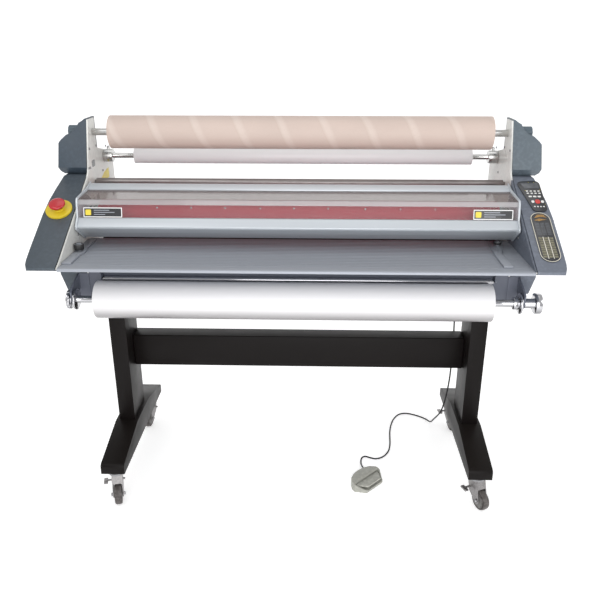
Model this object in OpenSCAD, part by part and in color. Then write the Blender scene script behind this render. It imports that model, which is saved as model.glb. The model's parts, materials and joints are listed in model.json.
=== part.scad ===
// Cold roll laminator on a castered stand: a roll-fed film laminator for sheets
// up to about 1.4 m wide. X runs along the rollers, Y from the operator's side
// to the back, Z up. The origin is on the floor, under the middle of the machine.

/* [Stand] */
// Distance from the middle to the inner face of each foot
foot_in = 621; // [600:1:635]
// Width of a foot
foot_w = 86; // [80:1:92]
// Front end of the feet, measured forwards
foot_front = 322; // [310:1:340]
// Back end of the feet
foot_back = 290; // [275:1:305]
// Height of the casters, floor to the underside of a foot
caster_h = 132; // [128:1:136]
// Caster wheel radius
wheel_r = 38; // [35:1:40]
// Column width along the rollers
column_w = 60; // [54:1:64]
// Top of the crossbar
bar_top = 547; // [520:1:570]

/* [Rolls] */
// Radius of the kraft take-up core
kraft_r = 58; // [50:1:62]
// Radius of the slim film roll
film_r = 29; // [24:1:34]
// Radius of the lower supply roll
supply_r = 65.5; // [55:0.5:66]
// Half the length of the kraft core
roll_half = 682; // [660:1:690]
// Radius of the laminating rollers
nip_r = 65; // [60:1:66]

/* [Body] */
// Half the distance between the side plates' inner faces
plate_in = 745; // [744:0.5:746]
// Top of the feed table
table_top = 938; // [936:1:938]
// Highest point of the end pods
pod_top = 1342; // [1338:1:1346]
// Opening of the nip
nip_lift = 20; // [10:1:20]

/* [Hidden] */

$fn = 64;
eps = 0.01;
plate_t = 5;
wall = 3;
fit = 0.05;
plate_out = plate_in + plate_t;

// Axes of the turning parts, as [y, z]
kraft_axis = [120, 1292];
film_axis = [227, 1190];
supply_axis = [-164, 754];
top_axis = [10, table_top + 2.2 + nip_r];
bottom_axis = [10, table_top + 1.8 - nip_r];
lower_idler_axis = [-112, 813];
upper_idler_axis = [90, 1118];
lift_axis = [90, top_axis[1] + 10];
pivot_axis = [8, 1120];

// ---------- helpers ----------

// Outline in the YZ plane, drawn from x0 to x1
module along_x(points, x0, x1) {
    translate([x0, 0, 0])
        rotate([90, 0, 90])
            linear_extrude(x1 - x0)
                polygon(points);
}

// Outline in the XZ plane, drawn from y0 to y1
module along_y(points, y0, y1) {
    translate([0, y1, 0])
        rotate([90, 0, 0])
            linear_extrude(y1 - y0)
                polygon(points);
}

// Round bar parallel to X, on the axis [y, z]
module bar_x(r, x0, x1, axis) {
    translate([x0, axis[0], axis[1]])
        rotate([0, 90, 0])
            cylinder(r = r, h = x1 - x0);
}

// Box given by its lowest and highest corners
module block(low, high) {
    translate(low)
        cube([for (i = [0:2]) high[i] - low[i]]);
}

// The right-hand piece for s = 1, its mirror image for s = -1
module on_side(s) {
    mirror([s < 0 ? 1 : 0, 0, 0])
        children();
}

// Points of an arc round a centre, from angle a0 to a1
function arc(c, r, a0, a1, n = 8) =
    [for (i = [0:n]) c + r * [cos(a0 + (a1 - a0) * i / n), sin(a0 + (a1 - a0) * i / n)]];

// ---------- gears ----------

pressure_angle = 20;
gear_play = 0.16;
function involute(a) = tan(a) * 180 / PI - a;
function flank_angle(m, n, r) =
    let (base = m * n / 2 * cos(pressure_angle))
    (PI * m / 4 - gear_play) / (m * n / 2) * 180 / PI + involute(pressure_angle)
        - involute(acos(min(1, base / r)));
// Outline of one gear: each tooth from its root up one flank and down the other
function gear_points(m, n) =
    let (root = m * n / 2 - 1.25 * m, tip = m * n / 2 + m,
         base = m * n / 2 * cos(pressure_angle), start = max(root, base) + 0.01,
         radii = [for (i = [0:4]) start + (tip - start) * i / 4])
    [for (k = [0:n - 1]) each concat(
        [let (a = k * 360 / n - flank_angle(m, n, start)) root * [cos(a), sin(a)]],
        [for (r = radii) let (a = k * 360 / n - flank_angle(m, n, r)) r * [cos(a), sin(a)]],
        [for (i = [4:-1:0]) let (r = radii[i], a = k * 360 / n + flank_angle(m, n, r))
            r * [cos(a), sin(a)]],
        [let (a = k * 360 / n + flank_angle(m, n, start)) root * [cos(a), sin(a)]])];

// Gear on an X axis, turned by phase degrees, with a bore
module gear(m, n, x0, x1, axis, phase, bore) {
    translate([x0, axis[0], axis[1]])
        rotate([90, 0, 90])
            rotate(phase)
                difference() {
                    linear_extrude(x1 - x0)
                        polygon(gear_points(m, n));
                    if (bore > 0)
                        translate([0, 0, -1])
                            cylinder(r = bore, h = x1 - x0 + 2);
                }
}

drive_module = 3;
roller_teeth = 50;
pinion_teeth = 24;
drive_distance = drive_module * (roller_teeth + pinion_teeth) / 2;
motor_axis = bottom_axis + [drive_distance, 0];
lift_teeth = 18;
lift_module = 3;
lift_radius = lift_module * lift_teeth / 2;

// ---------- stand ----------

foot_base = caster_h + 89;
column_front = -90;
column_back = 60;
column_top = 757;
column_in = foot_in + (foot_w - column_w) / 2;
column_out = column_in + column_w;
bar_bottom = bar_top - 127;
bar_front = -13;
bar_back = 60;

// Side outline of a foot, drawn in by t all round
function foot_outline(t) = concat(
    [[-foot_front + t, caster_h + t]],
    arc([-foot_front + 16, caster_h + 25], 16 - t, 180, 104, 5),
    [[column_front - 12, foot_base - t], [column_back + 10, foot_base - t],
     [foot_back - 8, caster_h + 38 - t], [foot_back - t, caster_h + 32 - t],
     [foot_back - t, caster_h + t]]);

module foot(s) {
    color([0.15, 0.14, 0.15])
        on_side(s)
            difference() {
                along_x(foot_outline(0), foot_in, foot_in + foot_w);
                difference() {
                    along_x(foot_outline(wall), foot_in + wall, foot_in + foot_w - wall);
                    for (y = caster_y)
                        block([foot_in, y - 34, 0], [foot_in + foot_w, y + 34, caster_h + 8]);
                }
                for (y = caster_y)
                    translate([caster_x, y, caster_h - 1])
                        cylinder(r = 5.2, h = 12);
            }
}

module column(s) {
    color([0.15, 0.14, 0.15])
        on_side(s) {
            difference() {
                block([column_in, column_front, foot_base], [column_out, column_back, column_top]);
                block([column_in + wall, column_front + wall, foot_base + 6],
                      [column_out - wall, column_back - wall, column_top + 1]);
            }
            difference() {
                block([column_in - 40, column_front + 5, column_top], [column_out + 20, column_back - 8, 765]);
                for (x = top_bolt_x, y = top_bolt_y)
                    translate([x, y, column_top - 1])
                        cylinder(r = 5.2, h = 12);
            }
        }
}
top_bolt_x = [column_in - 24, column_out + 10];
top_bolt_y = [-16, 36];

module crossbar() {
    color([0.15, 0.14, 0.15])
        difference() {
            block([-column_in, bar_front, bar_bottom], [column_in, bar_back, bar_top]);
            block([-column_in + 5, bar_front + wall, bar_bottom + wall],
                  [column_in - 5, bar_back - wall, bar_top - wall]);
        }
}

// Crossbar bolts through the columns' outer faces, and the top plates' bolts
module stand_bolts() {
    color("dimgray")
        for (s = [-1, 1])
            on_side(s) {
                for (z = [bar_bottom + 30, bar_top - 30], y = [8, 38])
                    translate([column_out, y, z])
                        rotate([0, 90, 0])
                            cylinder(r = 8, h = 6);
                for (x = top_bolt_x, y = top_bolt_y)
                    translate([x, y, column_top - 6])
                        cylinder(r = 8, h = 6);
            }
}

// ---------- casters ----------

caster_x = foot_in + foot_w / 2;
caster_y = [-foot_front + 42, foot_back - 42];
trail = 32;
// Side, end and swivel angle of each caster: front left, front right, rear left, rear right
casters = [[-1, 0, 14], [1, 0, 24], [-1, 1, -8], [1, 1, 12]];
race_z = caster_h - 5;

module place_caster(i) {
    c = casters[i];
    translate([c[0] * caster_x, caster_y[c[1]], 0])
        rotate(c[2])
            children();
}

module caster_plates() {
    color("silver")
        for (i = [0:3])
            let (c = casters[i])
                translate([c[0] * caster_x, caster_y[c[1]], 0]) {
                    difference() {
                        block([-31, -31, race_z], [31, 31, caster_h]);
                        translate([0, 0, race_z - 1])
                            cylinder(r = 5.2, h = 10);
                    }
                    translate([0, 0, race_z - 14])
                        cylinder(r = 5, h = 14 + 5 + 12);
                }
}

module caster_fork(i) {
    axle = [-trail, wheel_r];
    cheek = concat([[24, 90], [24, race_z - 13], [-24, race_z - 13]],
                   arc(axle, 13, 165, 300, 6), [[16, 56]]);
    color([0.62, 0.61, 0.58])
        place_caster(i)
            difference() {
                union() {
                    translate([0, 0, race_z - 13])
                        cylinder(r = 27, h = 6);
                    translate([0, 0, race_z - 7 - eps])
                        cylinder(r = 22, h = 6.6 + eps);
                    for (x = [-19, 16])
                        along_x(cheek, x, x + 3);
                    bar_x(5, -22, 22, axle);
                }
                translate([0, 0, race_z - 20])
                    cylinder(r = 5 + fit, h = 30);
                bar_x(4 + fit, -30, 30, [14, 70]);
            }
}

module caster_wheel(i) {
    color([0.42, 0.41, 0.40])
        place_caster(i)
            translate([-13, -trail, wheel_r])
                rotate([0, 90, 0])
                    rotate_extrude()
                        polygon([[5 + fit, 0], [30, 0], [30, 3], [34, 0.5], [36.5, 2], [wheel_r, 7],
                                 [wheel_r, 19], [36.5, 24], [34, 25.5], [30, 23], [30, 26], [5 + fit, 26]]);
}

module caster_brake(i) {
    color([0.55, 0.54, 0.52])
        place_caster(i) {
            bar_x(4, -38, 26, [14, 70]);
            block([-50, -4, 67], [-36, 26, 73]);
            block([-12, -2, 66], [12, 19, 75]);
        }
}

// ---------- frame ----------

cover_low = [-372, 940];
crease = [-335, 959];
cover_high = [10, 1154];
casing_back = 335;
casing_bottom = 762;
casing_front = -93;
slope = atan2(cover_high[1] - crease[1], cover_high[0] - crease[0]);

plate_outline = [
    [-366, 932], [-366, 937], [-334, 952], [8, 1146], [28, 1164], [82, pod_top - 3], [150, pod_top - 3],
    [148, 1232], [330, 1190], [330, 800], [296, 766], [casing_front, 766], [casing_front, 842]];

module side_plate(s) {
    on_side(s)
        difference() {
            along_x(plate_outline, plate_in, plate_out);
            for (a = [[12.5, kraft_axis], [10, film_axis], [8, lift_axis], [6, upper_idler_axis],
                      [6, pivot_axis]])
                bar_x(a[0] + fit, plate_in - 1, plate_out + 1, a[1]);
            bar_x(19, plate_in - 1, plate_out + 1, bottom_axis);
            bar_x(20, plate_in - 1, plate_out + 1, motor_axis);
            block([plate_in - 1, top_axis[0] - 15.3, top_axis[1] - 21],
                  [plate_out + 1, top_axis[0] + 15.3, top_axis[1] + 20 + nip_lift + 1]);
        }
}

module side_plates() {
    color([0.88, 0.87, 0.84])
        for (s = [-1, 1])
            side_plate(s);
}

// Box beam that sits on the columns, and two round tie bars at the back
module frame_bars() {
    color([0.80, 0.80, 0.78]) {
        difference() {
            block([-plate_in, -35, 765], [plate_in, 85, 800]);
            block([-plate_in - 1, -35 + wall, 765 + wall], [plate_in + 1, 85 - wall, 800 - wall]);
            for (s = [-1, 1], x = top_bolt_x, y = top_bolt_y)
                translate([s * x, y, 760])
                    cylinder(r = 5.2, h = 12);
        }
        bar_x(12, -plate_in, plate_in, [300, 850]);
        bar_x(12, -plate_in, plate_in, [295, 1066]);
        translate([cord_route[0][0], cord_route[0][1], cord_route[0][2]])
            cylinder(r = 9, h = 8);
    }
}

// ---------- side covers ----------

// Side outline, plan outline and end outline of a cover, drawn in by t
function cover_side(t) = [
    [cover_low[0] + t, 931 + t / 2], [cover_low[0] + t, cover_low[1] - t / 2],
    [crease[0] + t / 2, crease[1] - t], [cover_high[0] + t / 3, cover_high[1] - t],
    [casing_back - t, cover_high[1] - t], [casing_back - t, 800 + t / 2],
    [300 - t / 2, casing_bottom + t], [casing_front + t, casing_bottom + t], [casing_front + t, 838 + t]];
function cover_plan(outer, t) = concat(
    [[plate_out, cover_low[0] + t]],
    [for (p = [[-16, -372], [-9, -368], [-4, -358], [-1, -340], [0, -300], [0, -160], [-4, -100], [-12, -50],
               [-24, 10], [-22, 60], [-16, 120], [-12, 335]])
        [outer + p[0] - t, max(-372 + t, min(335 - t, p[1]))]],
    [[plate_out, casing_back - t]]);
function cover_end(outer, t) = [
    [plate_out, casing_bottom], [outer - 24 - t, casing_bottom], [outer - t, 840],
    [outer - t, 1200], [plate_out, 1200]];

module cover_solid(outer, t) {
    intersection() {
        along_x(cover_side(t), plate_out, outer + 2);
        translate([0, 0, 740])
            linear_extrude(440)
                polygon(cover_plan(outer, t));
        along_y(cover_end(outer, t), -380, 345);
    }
}

module side_cover(outer) {
    difference() {
        cover_solid(outer, 0);
        translate([-2, 0, 0])
            cover_solid(outer, wall);
    }
}

left_outer = 852;
right_outer = 846;

module side_cover_left() {
    color([0.33, 0.39, 0.44])
        on_side(-1)
            side_cover(left_outer);
}

module side_cover_right() {
    color([0.42, 0.46, 0.50])
        difference() {
            side_cover(right_outer);
            bar_x(4.2, right_outer - 6, right_outer + 1, gap_axis);
        }
}

// ---------- pods ----------

pod_back = 170;
knob_axis = kraft_axis;
// Front outline with its hollow shoulder, and side outline, drawn in by t
function pod_front(t) = concat(
    [[plate_out, 1156 + t], [836 - t, 1156 + t], [847 - t, 1166 + t / 2], [851 - t, 1182],
     [850 - t, 1262 - t], [842 - t, 1272 - t]],
    arc([838, 1350], 63 + t, 256, 200, 6),
    [[768, pod_top - 8 - t], [758, pod_top - t], [plate_out, pod_top - t]]);
function pod_side(t) = [
    [45, 1156 + t], [27 + t, 1180 + t / 2], [84 + t, pod_top - t], [pod_back - t, pod_top - t],
    [pod_back - t, 1156 + t]];

module pod_solid(t) {
    intersection() {
        along_y(pod_front(t), 0, pod_back + 10);
        along_x(pod_side(t), plate_out, 860);
    }
}

// Room for the tension knob behind the hollow shoulder, made larger by t
module knob_well(t) {
    bar_x(31 + t, 779 - t, 862, knob_axis);
    block([779 - t, knob_axis[0] - 31 - t, knob_axis[1]], [862, knob_axis[0] + 31 + t, pod_top + 5]);
}

module pod(s) {
    on_side(s)
        difference() {
            pod_solid(0);
            difference() {
                translate([-2, 0, 0])
                    pod_solid(wall);
                knob_well(wall);
            }
            knob_well(0);
            bar_x(9, 770, 785, knob_axis);
        }
}

module pod_left() {
    color([0.29, 0.36, 0.41])
        pod(-1);
}

module pod_right() {
    color([0.44, 0.49, 0.52])
        pod(1);
}

// ---------- upper shafts and rolls ----------

// Ring that centres a roll on its shaft
module chuck(r_out, r_in, x0, x1, axis) {
    difference() {
        bar_x(r_out, x0, x1, axis);
        bar_x(r_in, x0 - 1, x1 + 1, axis);
    }
}

// Roll wound on a core tube
module wound_roll(r_out, r_in, x0, x1, axis) {
    chuck(r_out, r_in, x0, x1, axis);
}

core_r = 38;
slim_core_r = 20;
kraft_shift = 5;

module takeup_shaft() {
    color("silver") {
        bar_x(12.5, -768, 768, kraft_axis);
        for (x = [kraft_shift - roll_half + 4, kraft_shift + roll_half - 34])
            chuck(core_r - 0.02, 12.5, x, x + 30, kraft_axis);
    }
}

module kraft_core() {
    color([0.80, 0.70, 0.62])
        wound_roll(kraft_r, core_r, kraft_shift - roll_half, kraft_shift + roll_half, kraft_axis);
}

module tension_knob(s) {
    color([0.32, 0.37, 0.42])
        on_side(s) {
            bar_x(8, 769, 787, knob_axis);
            difference() {
                bar_x(24, 787, 826, knob_axis);
                for (a = [0:30:330])
                    bar_x(2.6, 790, 827, knob_axis + 25 * [cos(a), sin(a)]);
            }
        }
}

film_half = 637;
film_shift = 11;

// Slim shaft with two set collars and its end blocks' stub ends
module film_shaft() {
    color("silver") {
        bar_x(10, -751, 751, film_axis);
        for (x = [-744, 710])
            chuck(24, 10, x, x + 34, film_axis);
        for (x = [-727, 727])
            translate([x, film_axis[0], film_axis[1] + 20])
                cylinder(r = 5, h = 14);
        for (x = [film_shift - film_half + 4, film_shift + film_half - 24])
            chuck(slim_core_r - 0.02, 10, x, x + 20, film_axis);
    }
}

module film_roll() {
    color([0.93, 0.94, 0.96])
        wound_roll(film_r, slim_core_r, film_shift - film_half, film_shift + film_half, film_axis);
}

// ---------- lower supply ----------

supply_shift = -12;
supply_half = 686;
arm_x = 780;
ear_x = 692;

// Arms that carry the supply shaft in front of the side plates, and the panel between
// them, whose two ears hold the lower idler
module supply_brackets() {
    color([0.40, 0.43, 0.50]) {
        for (s = [-1, 1])
            on_side(s) {
                difference() {
                    along_x(concat([[casing_front - 3, 770], [casing_front - 3, 826], [-178, 800], [-192, 788]],
                                   arc(supply_axis, 20, 165, 305, 12)), arm_x, arm_x + plate_t);
                    bar_x(12.5 + fit, arm_x - 1, arm_x + plate_t + 1, supply_axis);
                }
                block([plate_in, casing_front - 3, 738], [arm_x + plate_t, casing_front, 826]);
            }
        block([-plate_in, casing_front, 738], [plate_in, casing_front + 3, 925]);
        for (s = [-1, 1])
            on_side(s)
                difference() {
                    along_x([[casing_front, 798], [casing_front, 834], [-121, 834], [-126, 813]],
                            ear_x, ear_x + 4);
                    bar_x(6 + fit, ear_x - 1, ear_x + 5, lower_idler_axis);
                }
    }
}

module supply_shaft() {
    color("silver") {
        bar_x(12.5, -795, 800, supply_axis);
        for (x = [supply_shift - supply_half + 4, supply_shift + supply_half - 34])
            chuck(core_r - 0.02, 12.5, x, x + 30, supply_axis);
        chuck(22, 12.5, 749, 768, supply_axis);
        for (x = [-776, 770])
            chuck(37, 12.5, x, x + 6, supply_axis);
    }
}

module supply_roll() {
    color([0.93, 0.93, 0.95])
        wound_roll(supply_r, core_r, supply_shift - supply_half, supply_shift + supply_half, supply_axis);
}

// Knurled wheel with a hub, bored for the shaft's end
module supply_knob_left() {
    color("silver")
        difference() {
            union() {
                bar_x(34, -801, -790, supply_axis);
                bar_x(20, -790, -788, supply_axis);
            }
            bar_x(12.5 + fit, -796, -787, supply_axis);
            for (a = [0:30:330])
                bar_x(4, -802, -789, supply_axis + 36.5 * [cos(a), sin(a)]);
        }
}

module supply_knob_right() {
    color("silver")
        difference() {
            union() {
                bar_x(17, 788, 822, supply_axis);
                bar_x(36, 822, 843, supply_axis);
            }
            bar_x(12.5 + fit, 787, 801, supply_axis);
        }
}

// ---------- idlers, laminating rollers and their drive ----------

// Round bar with thinner ends that turn in bores
module idler(axis, r, half, pin_half) {
    color("silver") {
        bar_x(r, -half, half, axis);
        bar_x(6, -pin_half, pin_half, axis);
    }
}

module lower_idler() {
    idler(lower_idler_axis, 9, ear_x - 4, ear_x + 7);
}

module upper_idler() {
    idler(upper_idler_axis, 13, 738, 748);
}

face_half = 705;
journal_r = 15;

module top_roller() {
    color([0.70, 0.22, 0.25]) {
        bar_x(nip_r, -face_half, face_half, top_axis);
        bar_x(journal_r, -740, 740, top_axis);
    }
}

module bottom_roller() {
    color([0.16, 0.16, 0.17]) {
        bar_x(nip_r, -face_half, face_half, bottom_axis);
        bar_x(journal_r, -768, 768, bottom_axis);
    }
}

module roller_bearings() {
    color("silver")
        for (s = [-1, 1])
            on_side(s)
                difference() {
                    bar_x(30, 722, plate_in, bottom_axis);
                    bar_x(journal_r + fit, 721, plate_in + 1, bottom_axis);
                }
}

// Bearing blocks that slide up in the side plates' slots, with a rack on the back
rack_y = lift_axis[0] - lift_radius;
rack_phase = 0;
function rack_tooth(z) = [
    [rack_y - 3.75, z - 3.6], [rack_y + 3, z - 1.15], [rack_y + 3, z + 1.15], [rack_y - 3.75, z + 3.6]];

module lift_blocks() {
    color([0.55, 0.55, 0.53])
        for (s = [-1, 1])
            on_side(s) {
                difference() {
                    union() {
                        block([712, top_axis[0] - 30, top_axis[1] - 30],
                              [plate_in - 0.5, rack_y - 3.7, top_axis[1] + 32]);
                        block([plate_in - 1, top_axis[0] - 15, top_axis[1] - 20],
                              [plate_out, top_axis[0] + 15, top_axis[1] + 20]);
                    }
                    bar_x(journal_r + fit, 711, 741, top_axis);
                }
                for (k = [-3:1])
                    along_x(rack_tooth(lift_axis[1] + (k + 0.5) * PI * lift_module), 716, 740);
            }
}

module lift_shaft() {
    color("silver") {
        bar_x(8, -752, 752, lift_axis);
        for (x = [-738, 718])
            gear(lift_module, lift_teeth, x, x + 20, lift_axis, 0, 8);
    }
}

gap_axis = [-152, 1036];

module gap_knob() {
    color([0.1, 0.1, 0.1]) {
        bar_x(4, right_outer - 12, right_outer + 1, gap_axis);
        bar_x(13, right_outer + 0.5, right_outer + 6, gap_axis);
    }
}

module roller_gear() {
    color([0.6, 0.6, 0.6])
        gear(drive_module, roller_teeth, 753, 765, bottom_axis, 0, journal_r);
}

module motor_pinion() {
    color([0.6, 0.6, 0.6]) {
        gear(drive_module, pinion_teeth, 753, 765, motor_axis, 180 / pinion_teeth, 0);
        bar_x(10, 742, 753 + eps, motor_axis);
    }
}

module drive_motor() {
    color([0.25, 0.26, 0.28])
        difference() {
            union() {
                bar_x(40, 560, 690, motor_axis);
                block([690, motor_axis[0] - 42, motor_axis[1] - 42],
                      [plate_in, motor_axis[0] + 42, motor_axis[1] + 42]);
            }
            bar_x(10 + fit, 741, plate_in + 1, motor_axis);
        }
}

// ---------- safety shield ----------

shield_half = 735;
cap_out = 741;

// Top bar and front rail that hold the clear window
module shield_rails() {
    color([0.74, 0.79, 0.81]) {
        along_x([[5, 1130], [-25, 1116], [-25, 1102], [5, 1112]], -shield_half, shield_half);
        along_x([[-152, 1044], [-176, 1021], [-175, 1014], [-108, 965], [-98, 970], [-160, 1017],
                 [-160, 1023], [-142, 1040], [-142, 1044]], -shield_half, shield_half);
    }
}

module shield_window() {
    color([0.8, 0.82, 0.84, 0.4])
        along_x([[-25, 1112], [-138, 1104], [-152, 1044], [-147.9, 1044], [-134.8, 1100.2], [-25, 1108]],
                -shield_half, shield_half);
}

// End plates with the pivot pins
module shield_ends() {
    outline = [[18, 1134], [-26, 1121], [-138, 1109], [-145, 1100], [-157, 1046], [-181, 1022],
               [-180, 1011], [-108, 960], [-94, 966], [-72, 1034], [18, 1108]];
    color([0.74, 0.78, 0.80])
        for (s = [-1, 1])
            on_side(s) {
                along_x(outline, shield_half, cap_out);
                bar_x(6, cap_out - eps, plate_out, pivot_axis);
            }
}

// ---------- tables and guides ----------

table_front = -372;
lip_h = 10;
groove_pitch = 16;
groove = 3;

// Grooved plate with a turned-down lip
function table_outline(y_lip, y_nip, lip_dir) =
    let (n = floor((abs(y_nip - y_lip) - 30) / groove_pitch))
    concat(
        [[y_nip, table_top - 6], [y_nip, table_top]],
        [for (i = [0:n - 1]) each let (y = y_nip + lip_dir * (14 + i * groove_pitch)) [
            [y, table_top], [y, table_top - 1], [y + lip_dir * groove, table_top - 1],
            [y + lip_dir * groove, table_top]]],
        [[y_lip - lip_dir * 3, table_top], [y_lip, table_top - 3], [y_lip, table_top - lip_h],
         [y_lip - lip_dir * 4, table_top - lip_h], [y_lip - lip_dir * 4, table_top - 6]]);

module feed_table() {
    color([0.45, 0.47, 0.50])
        along_x(table_outline(table_front, -28, -1), -plate_in, plate_in);
}

module exit_table() {
    color([0.45, 0.47, 0.50])
        along_x(table_outline(-table_front, 50, 1), -plate_in, plate_in);
}

guide_z = table_top + 0.4;

// Side guide: a flat bar with a clamp knob on a stud
module paper_guide(outline, knob_at, knob_r, knob_h) {
    translate([0, 0, guide_z]) {
        color([0.62, 0.64, 0.67])
            linear_extrude(6)
                polygon(outline);
        color([0.08, 0.08, 0.08])
            translate([knob_at[0], knob_at[1], 6 - eps]) {
                cylinder(r = 6, h = 4 + eps);
                translate([0, 0, 4])
                    cylinder(r = knob_r, h = knob_h);
            }
    }
}

module guide_left() {
    paper_guide([[-743, -330], [-713, -330], [-713, -236], [-708, -226], [-708, -178], [-713, -168],
                 [-713, -70], [-727, -56], [-743, -56]], [-727, -202], 15, 21);
}

module guide_right() {
    paper_guide([[657, -330], [686, -330], [682, -200], [704, -128], [708, -82], [696, -56], [672, -56],
                 [664, -130], [658, -200]], [691, -102], 13, 11);
}

// ---------- controls ----------

// Local frame on the sloping top of a cover: x across, y up the slope, z out of it
module on_slope(x, y) {
    z = crease[1] + (y - crease[0]) * tan(slope);
    translate([x, y, z])
        rotate([slope, 0, 0])
            children();
}

estop_at = [-801, -142];
panel_at = [803, -73];
card_at = [803, -238];

function panel_outline() = concat(
    arc([-30, 60], 14, 180, 90, 4), arc([14, 60], 18, 90, 0, 4), arc([18, -58], 16, 0, -90, 4),
    arc([0, -58], 16, -90, -180, 4));

module control_panel() {
    color([0.08, 0.08, 0.09]) {
        on_slope(panel_at[0] - 1, panel_at[1])
            linear_extrude(4)
                polygon(panel_outline());
        on_slope(card_at[0], card_at[1])
            linear_extrude(3)
                polygon(concat(arc([0, 78], 32, 180, 0, 12), arc([0, -78], 32, 0, -180, 12)));
    }
}

module estop_base() {
    color([0.93, 0.78, 0.10])
        on_slope(estop_at[0], estop_at[1])
            difference() {
                union() {
                    cylinder(r = 44, h = 7);
                    cylinder(r = 17, h = 12);
                }
                translate([0, 0, 4])
                    cylinder(r = 10 + fit, h = 20);
            }
}

module estop_button() {
    color([0.80, 0.10, 0.08])
        on_slope(estop_at[0], estop_at[1])
            rotate_extrude()
                polygon(concat([[0, 10], [10, 10], [10, 18], [19, 18], [19, 23], [25, 24], [27, 26], [27, 30]],
                               [for (a = [20:20:80]) [27 * cos(a), 30 + 6 * sin(a)]], [[0, 36]]));
}

// ---------- foot switch and its cord ----------

// Middle of the mouth's front edge, and how far the switch is turned
switch_at = [301, -203];
switch_turn = 46;
switch_h = 36;
pedal_pin = [48, 23];

module on_floor_switch() {
    translate([switch_at[0], switch_at[1], 0])
        rotate(switch_turn)
            children();
}

// Fan-shaped plan, drawn in by t: a narrow mouth and a wide rounded back
function switch_plan(t) = [
    [-46 + t, t < 1 ? 0 : -1], [46 - t, t < 1 ? 0 : -1], [74 - t * 1.2, 38], [70 - t * 1.2, 54], [54 - t, 74 - t],
    [28 - t / 2, 85 - t], [0, 88 - t], [-28 + t / 2, 85 - t], [-54 + t, 74 - t], [-70 + t * 1.2, 54],
    [-74 + t * 1.2, 38]];

// Hood on a base plate, open at the mouth, with side walls that slope down to it
module footswitch_base() {
    color([0.62, 0.62, 0.58])
        on_floor_switch()
            difference() {
                linear_extrude(switch_h)
                    polygon(switch_plan(0));
                translate([0, 0, 9])
                    linear_extrude(switch_h - 9 - 5)
                        polygon(switch_plan(6));
                along_x([[-5, 60], [-5, 13], [8, 13], [52, switch_h + 1], [52, 60]], -90, 90);
                bar_x(3 + fit, -65, 65, pedal_pin);
            }
}

module footswitch_pedal() {
    color([0.66, 0.66, 0.62])
        on_floor_switch() {
            translate([0, 0, 20])
                linear_extrude(6)
                    polygon([[-37, 3], [37, 3], [61, 37], [58, 52], [42, 66], [-42, 66], [-58, 52], [-61, 37]]);
            bar_x(3, -64, 64, pedal_pin);
        }
}

cord_r = 3;
cord_sides = 8;
// Route of the cord: from the chassis down behind the crossbar, along the floor, to the switch
cord_route = [
    [606, 62, 757], [606, 64, 735], [607, 76, 680], [611, 92, 590], [615, 96, 500], [616, 96, 400],
    [615, 100, 310], [611, 118, 220], [603, 152, 130], [588, 208, 58], [582, 250, 17], [570, 288, 5],
    [550, 310, 3.4], [516, 330, 3.4], [482, 340, 3.4], [450, 328, 3.4], [424, 290, 3.4], [407, 240, 3.4],
    [397, 190, 3.4], [392, 140, 3.4], [387, 86, 3.4], [375, 36, 3.4], [350, -2, 3.4], [320, -17, 3.4],
    [296, -10, 3.4], [276, -2, 3.4], [262, -14, 3.4], [257, -40, 3.4], [258, -68, 7], [263.67, -98.04, 14.6],
    [268.77, -110, 16], [272.28, -118.24, 16]];
steps = 2;

function mix(a, b, c, d, t) =
    0.5 * ((2 * b) + (c - a) * t + (2 * a - 5 * b + 4 * c - d) * t * t + (3 * b - a - 3 * c + d) * t * t * t);
function route_point(i) = cord_route[max(0, min(len(cord_route) - 1, i))];
function cord_path() = concat(
    [for (i = [0:len(cord_route) - 2], k = [0:steps - 1])
        mix(route_point(i - 1), route_point(i), route_point(i + 1), route_point(i + 2), k / steps)],
    [route_point(len(cord_route) - 1)]);

function unit(v) = v / norm(v);
function tangent(p, i) = unit(p[min(len(p) - 1, i + 1)] - p[max(0, i - 1)]);
// A ring's first direction is carried from ring to ring, so the tube doesn't twist
function carried(p, i, side) =
    i == len(p) ? [] :
    let (t = tangent(p, i), u = unit(side - (side * t) * t))
    concat([u], carried(p, i + 1, u));

module tube(p, r, n) {
    sides = carried(p, 0, [1, 0, 0]);
    points = [for (i = [0:len(p) - 1]) let (t = tangent(p, i), u = sides[i], v = cross(t, u))
        for (k = [0:n - 1]) p[i] + r * (cos(360 * k / n) * u + sin(360 * k / n) * v)];
    rings = len(p);
    faces = concat(
        [[for (k = [n - 1:-1:0]) k]],
        [for (i = [0:rings - 2], k = [0:n - 1])
            [i * n + k, i * n + (k + 1) % n, (i + 1) * n + (k + 1) % n, (i + 1) * n + k]],
        [[for (k = [0:n - 1]) (rings - 1) * n + k]]);
    polyhedron(points, faces);
}

module footswitch_cord() {
    color([0.06, 0.06, 0.06])
        tube(cord_path(), cord_r, cord_sides);
}

// ---------- assembly ----------

foot(-1);  // foot_left
foot(1);  // foot_right
column(-1);  // column_left
column(1);  // column_right
crossbar();
stand_bolts();
caster_plates();
caster_fork(0);  // caster_fork_fl
caster_fork(1);  // caster_fork_fr
caster_fork(2);  // caster_fork_rl
caster_fork(3);  // caster_fork_rr
caster_wheel(0);  // caster_wheel_fl
caster_wheel(1);  // caster_wheel_fr
caster_wheel(2);  // caster_wheel_rl
caster_wheel(3);  // caster_wheel_rr
caster_brake(0);  // caster_brake_fl
caster_brake(1);  // caster_brake_fr
caster_brake(2);  // caster_brake_rl
caster_brake(3);  // caster_brake_rr
side_plates();
frame_bars();
side_cover_left();
side_cover_right();
pod_left();
pod_right();
supply_brackets();
takeup_shaft();
kraft_core();
tension_knob(-1);  // tension_knob_left
tension_knob(1);  // tension_knob_right
film_shaft();
film_roll();
supply_shaft();
supply_roll();
supply_knob_left();
supply_knob_right();
lower_idler();
upper_idler();
top_roller();
bottom_roller();
roller_bearings();
lift_blocks();
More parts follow.
